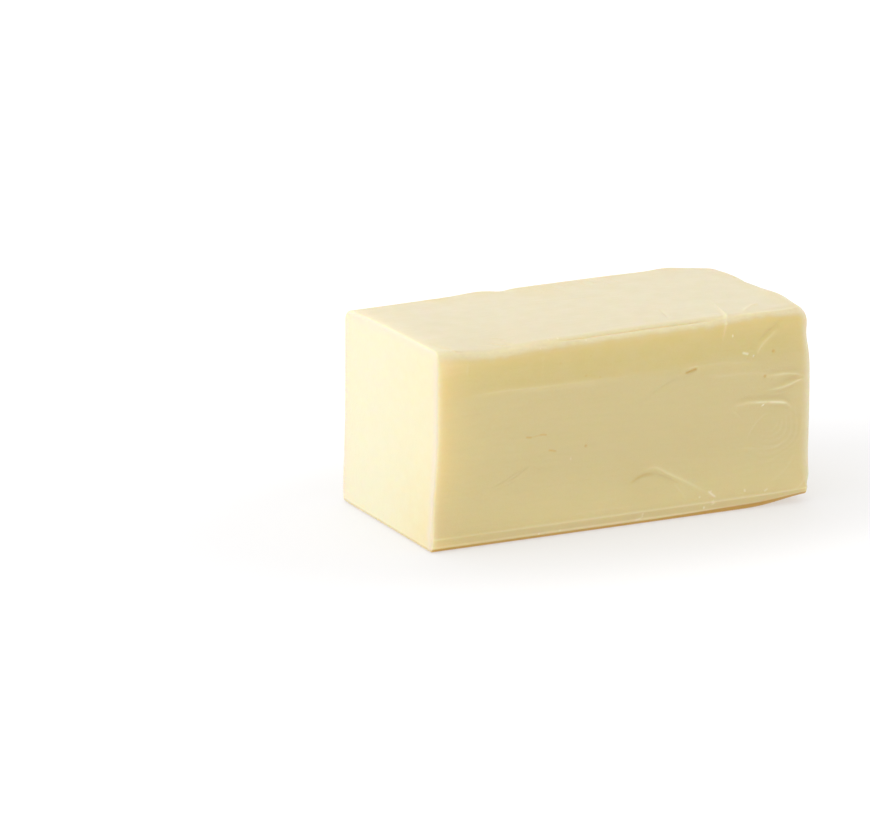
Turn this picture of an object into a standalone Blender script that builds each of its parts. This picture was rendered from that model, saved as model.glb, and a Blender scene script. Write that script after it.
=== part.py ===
"""A block of low-moisture mozzarella: a square loaf with one end cut off and the other as it was packed.

The length runs along X, from the cut end at -X to the packed end at +X. The block lies on its flat base at
Z = 0, and the middle of its bounding box is over the origin. Sizes below are in millimetres and the mesh is
written in metres.
"""

import bmesh
import bpy
import numpy as np

MM = 0.001

# The loaf's plain square form, before it bellies out, leans and sags
LENGTH = 197.8
WIDTH = 96.0
HEIGHT = 94.7

# Rounding of its edges
CUT_EDGE = 1.5  # round the freshly cut face
PACKED_EDGE = 8.0  # up both sides of the packed end
PACKED_HEAD = 9.5  # over its top
PACKED_FOOT = 3.5  # where it meets the base
NEAR_CORNER = 10.0  # radius to which the near top edge widens at the packed end
FAR_CORNER = 11.0  # the same for the far one
NEAR_EDGE = 4.6  # long top edges
FAR_EDGE = 5.5
BASE_EDGE = 1.8
CORNER_RUN = 34.0  # length over which the long edges widen

# Set of the soft cheese
FRONT_CROWN = 0.7  # how far the long faces, the top and the packed end belly out
TOP_CROWN = 0.5
END_CROWN = 1.3
FOOT_FLARE = 1.0  # how far the sides spread just above the base
FOOT_FLARE_RISE = 26.0
END_TUCK = 2.0  # how far the foot of the packed end is drawn in
END_TUCK_TOP = 13.0
CUT_LEAN = 3.1  # how far the foot of the cut face stands out in front of its head
CUT_LEAN_TOP = 60.0
CUT_SKEW = 1.0  # the far side of the cut stands out by this much
CUT_REACH = 42.0
CUT_FADE = 0.7  # share of the lean that is lost by the far side
END_FLATNESS = 0.6  # share of the packed end's belly that is left at its sides
LIFT = 3.0  # rise of the underside at the packed end
LIFT_RUN = 40.0
LIFT_CURVE = 1.5

# Sags (negative) and rises of the long top edges: place along X, height, reach
NEAR_SAGS = [(-70.0, -2.4, 17.0), (-35.0, -0.9, 30.0), (88.0, -0.3, 12.0)]
FAR_SAGS = [(-105.0, -1.3, 60.0), (40.0, 0.4, 34.0)]
EDGE_REACH = 20.0  # how far a sagging edge draws the faces beside it down
SAG_DRAW = 0.4  # share of a sag by which the near side is drawn in

# The seam that the film leaves round the foot of the sides
SEAM_HEIGHT = 6.4
SEAM_TUCK = 0.8  # how far the band below it is drawn in
SEAM_LIP = 0.35
SEAM_WIDTH = 0.9

# Mesh
CELL = 9.0
EDGE_STRIP = 6.0  # strip of the flat grid, on each side of an edge, that the edge's rounding takes up
STRIP_LINES = 3
SEAM_LINES = (3.9, 5.3, SEAM_HEIGHT, 7.5, 9.4)  # heights at which the cells follow the seam
FINE_CELL = 2.6  # cells on a crease are split until they are smaller than this
FINE_REACH = 2.2
CURVE_STEPS = 6  # straight pieces to each leg of a crease
CURVE_DEPTH = 2.0  # how far off the skin a crease's points may lie, as they do over the rounded edges
LEAST_RADIUS = 0.05
ON_RIM = 1e-5  # slack for the grid's 32-bit numbers

CHEESE_COLOUR = (0.80, 0.68, 0.38, 1.0)


def ease(t):
    """Smooth step from 0 to 1."""
    t = np.clip(t, 0.0, 1.0)
    return t * t * (3.0 - 2.0 * t)


def hump(x, middle, reach):
    """Bell curve with height 1."""
    return np.exp(-(((x - middle) / reach) ** 2))


def front(x, z):
    """A point on the near long side."""
    return (x, -WIDTH / 2, z)


def back(x, z):
    """A point on the far long side."""
    return (x, WIDTH / 2, z)


def top(x, y):
    """A point on the top."""
    return (x, y, HEIGHT)


def packed(y, z):
    """A point on the packed end."""
    return (LENGTH / 2, y, z)


# Creases: the points that each runs through, its height, its width, and the depth of the groove to the left
# of its run. A crease with a negative height is itself a groove.
CREASE_TAPER = 0.3  # share of its length over which a crease fades in, and out again
GROOVE_OFFSET = 1.7  # widths between a crease and its groove
BASE_TURN = 1 / 3  # downward slope from which creases fade out under the block
CREASES = [
    # long faint line that the film leaves along the near side
    ([front(-86, 72.6), front(-66, 73.8), front(-44, 72.8), front(28, 72.4)], 0.22, 1.6, 0.0),
    ([front(26, 72.3), front(40, 72.8), front(56, 72.3), front(75, 70)], 0.2, 1.6, 0.0),
    # nick in the near side with a faint tail
    ([front(29, 70), front(32.9, 70.8), front(36.5, 72)], -0.8, 1.2, 0.0),
    ([front(6, 58.5), front(13.8, 63.5), front(21.6, 67.1), front(29, 70)], -0.25, 1.5, 0.0),
    # sweeping fold low on the near side, and the hollow under it
    ([front(5, 25), front(13.5, 27), front(20, 23.7), front(32.5, 16.7), front(46.5, 8)], 0.45, 1.5, 0.0),
    ([front(1.5, 21.6), front(6.5, 23.4), front(12, 24), front(19, 21.6), front(29, 16)], -0.4, 1.3, 0.0),
    # great arched fold towards the packed end
    (
        [front(51, 50), front(61, 52), front(69, 51.8), front(76, 51), front(83, 49.8), front(90, 43)],
        0.6, 1.4, 0.35,
    ),
    # folds that run together at the packed edge
    ([front(71, 63.8), front(79.8, 63.9), front(86.2, 63.5), front(95.5, 61)], 0.45, 1.4, 0.25),
    ([front(73, 56.8), front(80.8, 57.6), front(89, 59.9), front(95.5, 60.8)], 0.45, 1.4, 0.25),
    # slanting folds below the near top corner
    ([front(67.5, 74.5), front(69.3, 78.4), front(75, 83.4), front(80.5, 88)], 0.35, 1.6, 0.0),
    ([front(67.5, 80.5), front(73.4, 85), front(77, 87.8), front(82.5, 91.5)], -0.35, 1.6, 0.0),
    # pinch that crosses the near top edge
    (
        [top(59.5, -16), top(56.4, -28), top(52.5, -45.4), front(51, 92), front(50, 88), front(49, 82)],
        0.5, 1.4, 0.0,
    ),
    ([top(77.5, -31.5), top(70, -36.4), top(61, -44.7)], 0.35, 1.5, 0.0),
    # crease along the near top edge
    ([top(-40, -46.2), top(-27, -46.4), top(16.5, -46.8), top(37, -46.8), top(51, -46.2)], -0.4, 1.3, 0.0),
    ([top(52, -46.2), top(64.6, -46.4), top(77, -45.8), top(89.6, -44), top(96, -40.5)], 0.3, 1.3, 0.0),
    # nicks in the top
    ([top(-93, -29.5), top(-91.6, -38.8), top(-88, -44.5)], -0.4, 1.3, 0.0),
    ([top(-63, -34.5), top(-59.5, -42.5), top(-58.8, -46.5)], -0.3, 1.2, 0.0),
    ([top(29.6, -20), top(28, -29.5), top(25.8, -40)], -0.3, 1.4, 0.0),
    # pleats of the film on the packed end
    ([packed(9, 94), packed(10, 80), packed(4, 66), packed(-10, 58), packed(-40, 61)], 0.5, 1.6, 0.3),
    ([packed(10, 93), packed(20, 74), packed(24, 50), packed(20, 26)], 0.45, 1.6, 0.3),
    ([packed(44, 70), packed(26, 56), packed(6, 50), packed(-20, 38), packed(-42, 34)], 0.4, 1.8, 0.2),
    # folds on the far side, by the packed end
    ([back(95, 62), back(86, 60), back(72, 63), back(58, 62)], 0.45, 1.5, 0.25),
    ([back(95, 34), back(84, 41), back(70, 42), back(56, 38)], 0.5, 1.5, 0.3),
    ([back(-88, 70), back(-50, 72), back(-8, 71), back(40, 73)], 0.2, 1.8, 0.0),
]

# Dents (negative) and swellings: place, height, reach
DENTS = [
    (top(-33.5, 44), 0.6, 9.0),
    (top(-20.5, 46), -0.9, 5.0),
    (top(68, 45), 0.7, 8.0),
    (top(94, 40), -0.9, 10.0),
    (packed(9, 92), -1.7, 5.0),
    (packed(-20, 92), 1.4, 12.0),
    (packed(-44, 80), -1.4, 8.0),
    (front(84, 33), -0.3, 9.0),
    (front(19, 14), -0.35, 8.0),
    (back(60, 30), -0.5, 14.0),
    (back(-20, 55), -0.4, 22.0),
]


def run_of_lines(size, extra=()):
    """Places of the grid lines across one dimension, closer over the rounded edges."""
    strip = np.linspace(0.0, EDGE_STRIP, STRIP_LINES + 1)
    stops = sorted({float(v) for v in (*strip, *(size - strip), *extra)})
    lines = [stops[0]]
    for stop in stops[1:]:
        count = max(1, int(np.ceil((stop - lines[-1]) / CELL)))
        lines.extend(np.linspace(lines[-1], stop, count + 1)[1:])
    return np.array(lines)


def box_grid(xs, ys, zs):
    """Bmesh of the six sides of a box, cut along the given lines and closed."""
    grid = bmesh.new()
    lines = (xs, ys, zs)
    found = {}

    def corner(index):
        if index not in found:
            found[index] = grid.verts.new([line[i] for line, i in zip(lines, index)])
        return found[index]

    for axis in range(3):
        first, second = (axis + 1) % 3, (axis + 2) % 3
        for level, turn in ((0, -1), (len(lines[axis]) - 1, 1)):
            for i in range(len(lines[first]) - 1):
                for j in range(len(lines[second]) - 1):
                    loop = []
                    for di, dj in ((0, 0), (1, 0), (1, 1), (0, 1)):
                        index = [level] * 3
                        index[first] = i + di
                        index[second] = j + dj
                        loop.append(corner(tuple(index)))
                    grid.faces.new(loop[::turn])
    return grid


def curve_points(points):
    """Smooth curve through a crease's points (Catmull-Rom)."""
    p = np.array(points, dtype=float)
    p = np.vstack([2 * p[0] - p[1], p, 2 * p[-1] - p[-2]])
    t = np.linspace(0.0, 1.0, CURVE_STEPS, endpoint=False)[:, None]
    legs = []
    for a, b, c, d in zip(p, p[1:], p[2:], p[3:]):
        bend = (2 * a - 5 * b + 4 * c - d) * t**2 + (3 * (b - c) + d - a) * t**3
        legs.append(b + ((c - a) * t + bend) / 2)
    legs.append(p[-2:-1])
    return np.vstack(legs)


def beside(places, outward, points):
    """Distance of each place on the skin from a curve, and how far along the curve its nearest spot is.

    The distance is positive to the left of the curve's run, seen from outside.
    """
    line = curve_points(points)
    nearest = np.full(len(places), np.inf)
    side = np.zeros(len(places))
    along = np.zeros(len(places))
    for k, (a, b) in enumerate(zip(line, line[1:])):
        leg = b - a
        share = np.clip((places - a) @ leg / (leg @ leg), 0.0, 1.0)
        off = places - a - share[:, None] * leg
        depth = np.clip(np.einsum("ij,ij->i", off, outward), -CURVE_DEPTH, CURVE_DEPTH)
        off -= depth[:, None] * outward
        distance = np.linalg.norm(off, axis=1)
        closer = distance < nearest
        nearest[closer] = distance[closer]
        side[closer] = np.einsum("ij,ij->i", off, np.cross(outward, leg))[closer]
        along[closer] = ((k + share) / (len(line) - 1))[closer]
    return nearest * np.where(side < 0, -1.0, 1.0), along


def refine(grid):
    """Halves the cells round each crease until they are fine enough to carry it."""
    size = CELL
    while size > FINE_CELL:
        middles = np.array([face.calc_center_median() for face in grid.faces])
        places, outward = round_edges(middles)
        nearest = np.full(len(places), np.inf)
        for points, *_ in CREASES:
            nearest = np.minimum(nearest, np.abs(beside(places, outward, points)[0]))
        chosen = set()
        for face, distance in zip(grid.faces, nearest):
            if distance < FINE_REACH + size / 2:
                chosen.update(edge for edge in face.edges if edge.calc_length() > size / 2)
        bmesh.ops.subdivide_edges(grid, edges=list(chosen), cuts=1, use_grid_fill=True)
        size /= 2


def over_edge(distance, half, radius, room):
    """Spreads the grid's edge strip evenly over a quarter round of the given radius.

    Takes a distance from the sharp edge of a side that is twice `half` wide, and gives the distance from
    the edge of one that is twice `room` wide.
    """
    turn = np.tan(np.radians(45.0) * np.clip(1.0 - distance / EDGE_STRIP, 0.0, 1.0))
    beyond = (distance - EDGE_STRIP) * (room - radius) / (half - EDGE_STRIP)
    return np.where(distance < EDGE_STRIP, radius * (1.0 - turn), radius + beyond)


def end_radius(way, up):
    """Radius of the rounding round an end; `up` runs from -1 at its foot to 1 at its head."""
    packed_radius = PACKED_FOOT + (PACKED_EDGE - PACKED_FOOT) * ease(2.0 * (up + 1.0))
    packed_radius += (PACKED_HEAD - PACKED_EDGE) * ease(2.5 * (up - 0.6))
    return np.where(way < 0, CUT_EDGE, packed_radius)


def long_radius(x, aside, up):
    """Radius of the long edges, which widen towards the packed end.

    `aside` is -1 on the near side and 1 on the far one, and `up` is above 0 on the top edges.
    """
    far = ease(aside + 0.5)
    plain = np.where(up > 0.0, NEAR_EDGE + (FAR_EDGE - NEAR_EDGE) * far, BASE_EDGE)
    widened = np.where(up > 0.0, NEAR_CORNER + (FAR_CORNER - NEAR_CORNER) * far, PACKED_FOOT)
    return plain + (widened - plain) * ease((x - LENGTH / 2 + CORNER_RUN) / CORNER_RUN)


def round_edges(p):
    """Place and outward direction on the rounded block for points p on the sharp box.

    Each point belongs to a cross-section: a rounded square that shrinks over an end's rounding, and from
    there towards the middle of that end.
    """
    half = np.array([LENGTH, WIDTH, HEIGHT]) / 2
    way = np.sign(p[:, 0])
    flat = np.column_stack([p[:, 1] / half[1], (p[:, 2] - half[2]) / half[2]])
    spread = np.abs(flat).max(axis=1)
    rim = flat / np.maximum(spread, ON_RIM)[:, None]
    on_end = spread < 1.0 - ON_RIM

    edge = end_radius(way, rim[:, 1])
    inward = over_edge((1.0 - spread) * half[1], half[1], edge, half[1])
    behind = over_edge(half[0] - np.abs(p[:, 0]), half[0], edge, half[0])
    ahead = np.where(on_end, edge, np.clip(edge - behind, 0.0, None))
    aside = np.where(on_end, np.clip(edge - inward, 0.0, None), edge)
    length = np.hypot(ahead, aside)
    ahead, aside = ahead / length, aside / length
    inset = np.where(on_end & (aside == 0.0), inward, edge * (1.0 - aside))
    shrink = 1.0 - inset / half[1]
    x = np.where(ahead > 0.0, half[0] - edge * (1.0 - ahead), half[0] - behind)

    room = half[1:] * shrink[:, None]
    radius = np.maximum(long_radius(way * x, rim[:, 0], rim[:, 1]) - inset, LEAST_RADIUS)
    radius = np.minimum(radius, room.min(axis=1) / 2)[:, None]
    drawn = room - over_edge((1.0 - np.abs(rim)) * half[1:], half[1:], radius, room)
    plain = room * np.abs(rim)
    depth = ease((inward[:, None] - EDGE_STRIP) / EDGE_STRIP) * on_end[:, None]
    target = np.sign(rim) * np.where(np.abs(rim) > 1.0 - ON_RIM, room, drawn + (plain - drawn) * depth)
    core = np.clip(target, radius - room, room - radius)
    off = target - core
    off /= np.maximum(np.linalg.norm(off, axis=1), ON_RIM)[:, None]
    section = core + off * radius

    place = np.column_stack([way * x, section[:, 0], section[:, 1] + half[2]])
    outward = np.column_stack([way * ahead, off[:, 0] * aside, off[:, 1] * aside])
    return place, outward


def seam_profile(z):
    """How far the sides stand out at height z: a lip at the seam and a drawn-in band below it."""
    tuck = SEAM_TUCK * ease((SEAM_HEIGHT - z) / SEAM_HEIGHT)
    return SEAM_LIP * hump(z, SEAM_HEIGHT, SEAM_WIDTH) - tuck


def edge_sag(x, sags):
    """How far a long edge sags at x."""
    return sum(height * hump(x, middle, reach) for middle, height, reach in sags)


def settle(place, outward):
    """Belly, spread foot, leaning cut, sagging edges and lifted end: the block's large soft forms."""
    x, y, z = place.T
    half = np.array([LENGTH, WIDTH, HEIGHT]) / 2
    upright = np.sin(np.pi * np.clip(z / HEIGHT, 0.0, 1.0))
    lengthwise = np.cos(np.pi * np.clip(x / LENGTH, -0.5, 0.5))
    sideways = np.cos(np.pi * np.clip(y / WIDTH, -0.5, 0.5))
    moved = place.copy()

    side = np.sign(y) * np.abs(outward[:, 1])
    foot = FOOT_FLARE * ease((FOOT_FLARE_RISE - z) / FOOT_FLARE_RISE)
    moved[:, 1] += side * (FRONT_CROWN * upright * np.sqrt(lengthwise) + foot + seam_profile(z))
    moved[:, 2] += np.clip(outward[:, 2], 0.0, 1.0) * TOP_CROWN * lengthwise * sideways
    belly = END_CROWN * upright * (END_FLATNESS + (1.0 - END_FLATNESS) * sideways)
    tuck = END_TUCK * ease((END_TUCK_TOP - z) / (END_TUCK_TOP - SEAM_HEIGHT))
    moved[:, 0] += np.clip(outward[:, 0], 0.0, 1.0) * (belly - tuck + seam_profile(z))

    far = (y + half[1]) / WIDTH
    lean = CUT_LEAN * (1.0 - CUT_FADE * far) * ease((CUT_LEAN_TOP - z) / CUT_LEAN_TOP)
    moved[:, 0] -= ease((CUT_REACH - half[0] - x) / CUT_REACH) * (lean + CUT_SKEW * far)

    near_share = hump(np.hypot(y + half[1], HEIGHT - z), 0.0, EDGE_REACH)
    near_sag = near_share * edge_sag(x, NEAR_SAGS)
    far_share = hump(np.hypot(y - half[1], HEIGHT - z), 0.0, EDGE_REACH)
    moved[:, 2] += near_sag + far_share * edge_sag(x, FAR_SAGS)
    moved[:, 1] -= SAG_DRAW * near_sag

    lift_top = SEAM_HEIGHT + 2.0
    lift = LIFT * ease((x - half[0] + LIFT_RUN) / LIFT_RUN) ** LIFT_CURVE
    moved[:, 2] += lift * ease((lift_top - z) / lift_top)
    return moved


def relief(place, outward):
    """Height of the creases, folds and dents, measured along the outward direction."""
    height = np.zeros(len(place))
    for points, rise, width, groove in CREASES:
        distance, along = beside(place, outward, points)
        taper = ease(along / CREASE_TAPER) * ease((1.0 - along) / CREASE_TAPER)
        fold = rise * hump(distance, 0.0, width)
        fold -= groove * hump(distance, GROOVE_OFFSET * width, width)
        height += taper * fold
    for middle, rise, reach in DENTS:
        distance = np.linalg.norm(place - np.array(middle), axis=1)
        height += rise * hump(distance, 0.0, reach)
    return height * (1.0 - ease((-outward[:, 2] - BASE_TURN) / BASE_TURN))


def centred(place):
    """Moved so that the middle of the bounding box is over the origin and the base is at Z = 0."""
    low, high = place.min(axis=0), place.max(axis=0)
    return place - np.array([(low[0] + high[0]) / 2, (low[1] + high[1]) / 2, low[2]])


def cheese_material():
    """Pale ivory cheese, semi-moist."""
    material = bpy.data.materials.new("cheese")
    material.use_nodes = True
    shader = material.node_tree.nodes["Principled BSDF"]
    shader.inputs["Base Color"].default_value = CHEESE_COLOUR
    shader.inputs["Roughness"].default_value = 0.42
    shader.inputs["Metallic"].default_value = 0.0
    shader.inputs["Subsurface Weight"].default_value = 0.3
    shader.inputs["Subsurface Radius"].default_value = (0.008, 0.005, 0.002)
    return material


def mozzarella_block():
    """The one solid of the block."""
    xs = run_of_lines(LENGTH) - LENGTH / 2
    ys = run_of_lines(WIDTH) - WIDTH / 2
    stretch = (HEIGHT / 2 - EDGE_STRIP) / (HEIGHT / 2 - BASE_EDGE)
    zs = run_of_lines(HEIGHT, [EDGE_STRIP + (z - BASE_EDGE) * stretch for z in SEAM_LINES])
    grid = box_grid(xs, ys, zs)
    refine(grid)
    sharp = np.array([vert.co for vert in grid.verts])
    place, outward = round_edges(sharp)
    height = relief(place, outward)
    place = centred(settle(place, outward) + outward * height[:, None])
    for vert, spot in zip(grid.verts, place):
        vert.co = spot * MM
    bmesh.ops.triangulate(grid, faces=grid.faces)
    mesh = bpy.data.meshes.new("mozzarella_block")
    grid.to_mesh(mesh)
    grid.free()
    mesh.shade_smooth()
    mesh.materials.append(cheese_material())
    block = bpy.data.objects.new("mozzarella_block", mesh)
    bpy.context.scene.collection.objects.link(block)


def main():
    for old in list(bpy.data.objects):
        bpy.data.objects.remove(old, do_unlink=True)
    mozzarella_block()


main()
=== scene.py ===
import bmesh
import bpy
import numpy as np
from mathutils import Matrix, Vector


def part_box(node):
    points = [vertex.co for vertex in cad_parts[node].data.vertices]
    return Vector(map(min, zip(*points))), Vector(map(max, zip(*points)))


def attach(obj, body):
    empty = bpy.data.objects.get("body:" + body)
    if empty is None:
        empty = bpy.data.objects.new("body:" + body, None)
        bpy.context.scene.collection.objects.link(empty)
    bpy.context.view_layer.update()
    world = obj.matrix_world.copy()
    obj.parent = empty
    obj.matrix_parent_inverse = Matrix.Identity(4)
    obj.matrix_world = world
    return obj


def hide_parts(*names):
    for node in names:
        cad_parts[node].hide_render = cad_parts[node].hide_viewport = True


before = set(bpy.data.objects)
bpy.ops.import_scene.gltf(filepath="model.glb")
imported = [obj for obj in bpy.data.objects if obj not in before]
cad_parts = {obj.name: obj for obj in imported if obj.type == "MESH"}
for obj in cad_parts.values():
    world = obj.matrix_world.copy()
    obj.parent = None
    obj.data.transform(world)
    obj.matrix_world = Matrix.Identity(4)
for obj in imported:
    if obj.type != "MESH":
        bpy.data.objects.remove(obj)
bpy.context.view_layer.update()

# A block of low-moisture mozzarella, with one end cut off (-X) and the other as it was packed (+X). Its shape
# is worked out in millimetres, and then fitted to its solid's own box.
MM = 0.001

# The loaf's plain square form, before it bellies out, leans and sags
LENGTH = 197.8
WIDTH = 96.0
HEIGHT = 94.7
HALF = np.array([LENGTH, WIDTH, HEIGHT]) / 2

# Rounding of its edges
CUT_EDGE = 1.5  # round the freshly cut face
PACKED_EDGE = 8.0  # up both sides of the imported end
PACKED_HEAD = 9.5  # over its top
PACKED_FOOT = 3.5  # where it meets the base
HEAD_SHARE = 0.4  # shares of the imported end's half height over which its rounding changes
FOOT_SHARE = 0.5
NEAR_CORNER = 10.0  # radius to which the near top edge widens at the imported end
FAR_CORNER = 11.0  # the same for the far one
NEAR_EDGE = 4.6  # long top edges
FAR_EDGE = 5.5
BASE_EDGE = 1.8
CORNER_RUN = 34.0  # length over which the long edges widen

# Set of the soft cheese
FRONT_CROWN = 0.7  # how far the long faces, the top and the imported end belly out
TOP_CROWN = 0.5
END_CROWN = 1.3
FOOT_FLARE = 1.0  # how far the sides spread just above the base
FOOT_FLARE_RISE = 26.0
END_TUCK = 2.0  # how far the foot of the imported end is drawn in
END_TUCK_TOP = 13.0
CUT_LEAN = 3.1  # how far the foot of the cut face stands out in front of its head
CUT_LEAN_TOP = 60.0
CUT_SKEW = 1.0  # the far side of the cut stands out by this much
CUT_REACH = 42.0
CUT_FADE = 0.7  # share of the lean that is lost by the far side
END_FLATNESS = 0.6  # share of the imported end's belly that is left at its sides
LIFT = 3.0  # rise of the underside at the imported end
LIFT_RUN = 40.0
LIFT_CURVE = 1.5
LIFT_MARGIN = 2.0  # how far above the seam the sides still rise with it

# Sags (negative) and rises of the long top edges: place along X, height, reach
NEAR_SAGS = [(-70.0, -2.4, 17.0), (-35.0, -0.9, 30.0), (88.0, -0.3, 12.0)]
FAR_SAGS = [(-105.0, -1.3, 60.0), (40.0, 0.4, 34.0)]
EDGE_REACH = 20.0  # how far a sagging edge draws the faces beside it down
SAG_DRAW = 0.4  # share of a sag by which the near side is drawn in

# The seam that the film leaves round the foot of the sides
SEAM_HEIGHT = 6.4
SEAM_TUCK = 0.8  # how far the band below it is drawn in
SEAM_LIP = 0.35
SEAM_WIDTH = 0.9

# Mesh
CELL = 3.2  # coarsest cells of the grid
EDGE_STRIP = 6.0  # strip of the flat grid, on each side of an edge, that the edge's rounding takes up
STRIP_LINES = 6
FOOT_CELL = 0.36  # closer lines of the grid, from the strip of the base's edge up past the seam
FOOT_CELLS = 16
FOOT_LINES = EDGE_STRIP + FOOT_CELL * np.arange(1, FOOT_CELLS + 1)
SHOWN_CELL = 2.0  # cells of the near side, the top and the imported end
SIDE_TURN = 0.5  # cells that face the back or the floor more squarely than this stay coarse
CUT_TURN = 0.9  # the same for the cut face
CREASE_CELL = 1.0  # cells on the loops and within this reach of a crease
CREASE_REACH = 2.4
FINE_CELL = 0.5  # cells within this reach of a film line, nick, pit or speck
LINE_REACH = 0.9
CURVE_STEPS = 6  # straight pieces to each leg of a curve
CURVE_DEPTH = 2.0  # how far off the skin a curve's points may lie, as they do over the rounded edges
LEAST_RADIUS = 0.05
ON_RIM = 1e-5  # slack for the grid's 32-bit numbers

# Creases, film lines and marks
BELL_REACH = 4.0  # widths beyond which a bell curve is flat
CREASE_TAPER = 0.3  # share of a crease's length over which each of its ends fades
MARK_TAPER = 0.25
GROOVE_OFFSET = 1.7  # widths from a crease to the groove beside it
CREST_SHARE = 0.2  # height of the sharp crest on a crease, as a share of the crease's own
CREST_WIDTH = 0.5
GLINT_RELIEF = 0.8  # height of a glint, as a share of the one that its colour is worked out from
BASE_TURN = 1 / 3  # relief fades where the skin turns down to the base, from this turn over as much again

# Loops, like a fingerprint's, that the film's end pressed into the near side
LOOPS_MIDDLE = (74.0, 42.0)
LOOPS_HEIGHT = 0.06
LOOPS_STEP = 2.7
LOOPS_REACH = 24.0
LOOPS_FADE = 7.0  # they fade over this distance, both outwards and towards their middle
LOOPS_WOBBLE = 1.4
LOOPS_WAVES = (5.0, 4.0)  # millimetres to a radian of the wobble, along X and Z
LOOPS_WAY = (0.6, -0.8)  # they are deepest on this side of their middle
LOOPS_LEAST = 0.1

# Where the top's cream lies; its paleness is partly painted light, as the top is lit from above. It reaches
# over the edges, and ends between two distances below them.
BROW_TOP = 1.5
BROW_FOOT = 6.2
BROW_SHIFT = 2.2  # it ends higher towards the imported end
BROW_FROM = 44.0
BROW_RUN = 30.0
BROW_WOBBLE = 0.5
BROW_WAVES = (1.7, 5.3, 9.1)  # millimetres to a radian of its ripple, its unevenness and its swell
BROW_UNEVENNESS = 2.0
BROW_TURN = 0.25  # its brow, a painted highlight on the turned edge, is fully pale where the skin has turned this far from facing up

# Where the gold lies
FILM_MIDDLE = 72.0  # height of the film's edge on the sides, above which the skin is golden
FILM_BLEND = 5.0  # height over which the gold begins
LEAST_GOLD = 0.6  # gold just above the film's edge, as a share of the gold at the top
FILM_SPREAD = 13.0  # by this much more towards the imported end
FILM_SPREAD_FROM = 0.0
FILM_SPREAD_RUN = 70.0
FAR_GOLD = 0.55  # gold of the top along its far side
FAR_GOLD_FROM = 30.0
FAR_GOLD_RUN = 18.0
PACKED_GOLD = 0.8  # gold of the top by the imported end
PACKED_GOLD_RUN = 16.0
CUT_SIDE_SHADE = 0.45  # share of the cut's painted shade, a darker gold, that runs all up its near side; the rest lies at its foot
CUT_SIDE_SHADE_FROM = 30.0
CUT_SIDE_SHADE_RUN = 80.0
CUT_FOOT_RISE = 60.0
CUT_FOOT_FROM = 10.0
CUT_FOOT_RUN = 60.0

# Painted light: where light that comes through the cheese brightens the sides
GLOW_REACH = 12.0  # from the cut
BAND_GLOW = 0.45  # under the top edges
LOW_FROM = 8.0  # and low down, painted lighter towards the base
LOW_RUN = 30.0

# Where the skin is pale along its edges: painted highlights, and a painted sheen on the cut's own rim
FRESH_TURN = 0.3  # the cut's own colour begins at this turn towards it
FRESH_BLEND = 0.4
RIM_REACH = 2.3
TOP_RIM = 0.75  # the rim of the cut fades more slowly along the top and the sides just under it
TOP_RIM_REACH = 7.0
TOP_RIM_FROM = 80.0
TOP_RIM_RUN = 10.0
CUT_RIM_INSET = 0.8  # painted sheen in a rim on the cut face itself
CUT_RIM_REACH = 2.6
PACKED_RIM = 0.8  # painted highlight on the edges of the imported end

# Painted contact shadow: the amber foot of the sides
FOOT_FULL = 1.35
FOOT_FADE = 0.6
FOOT_SPREAD = 1.1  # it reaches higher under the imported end
FOOT_SPREAD_FROM = 10.0
FOOT_SPREAD_RUN = 60.0
FOOT_ON_CUT = 0.6  # share of it that the cut face lacks

# Painted highlights on the relief's ridges and painted shade in its grooves
CREASE_TONE = 3.0  # height of a crease whose painted highlight would show fully pale
LINE_TONE = 0.6  # the same for a film line
DARK_SHARE = 0.7
DEEPEST_PIT = 0.3  # depth from which a nick or pit shows its painted amber shade fully
CLEAREST_GLINT = 0.3  # height from which a glint shows fully pale
FOOT_TONES = [  # lines of painted tone round the sides: height, tone (paler than the skin above 0), reach
    # painted highlight on the seam's lip
    (SEAM_HEIGHT, 0.42, 0.5),
    (SEAM_HEIGHT - 1.3, -0.12, 0.6),  # painted shade in the hollow under the seam
    (2.5, 0.7, 0.45),  # painted highlight on the ledge
]

# Colours, among them painted light and shade: glow, low light, highlights, sheen and shade
SIDE_COLOUR = (0.712, 0.604, 0.316, 1.0)
GOLD_COLOUR = (0.705, 0.582, 0.240, 1.0)
GLOW_COLOUR = (0.86, 0.715, 0.325, 1.0)
LOW_LIGHT_COLOUR = (0.765, 0.656, 0.337, 1.0)
TOP_COLOUR = (0.718, 0.642, 0.441, 1.0)
TOP_GOLD_COLOUR = (0.72, 0.61, 0.34, 1.0)
BROW_HIGHLIGHT_COLOUR = (0.785, 0.718, 0.475, 1.0)
CUT_COLOUR = (0.755, 0.712, 0.502, 1.0)
CUT_SHADE_COLOUR = (0.755, 0.665, 0.395, 1.0)
CUT_RIM_SHEEN_COLOUR = (0.725, 0.645, 0.502, 1.0)
RIM_HIGHLIGHT_COLOUR = (0.805, 0.742, 0.52, 1.0)
STAIN_AND_SHADE_COLOUR = (0.66, 0.53, 0.25, 1.0)
TOP_STAIN_AND_SHADE_COLOUR = (0.78, 0.66, 0.35, 1.0)
HIGHLIGHT_COLOUR = (0.87, 0.77, 0.54, 1.0)
NICK_AND_PIT_SHADE_COLOUR = (0.70, 0.50, 0.165, 1.0)
CONTACT_SHADOW_COLOUR = (0.54, 0.33, 0.08, 1.0)
GLINT_COLOUR = (0.93, 0.87, 0.70, 1.0)
WARM_COLOUR = (1.0, 0.945, 0.90, 1.0)
COOL_COLOUR = (0.925, 0.965, 0.885, 1.0)
WHITE = (1.0, 1.0, 1.0, 1.0)

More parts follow.
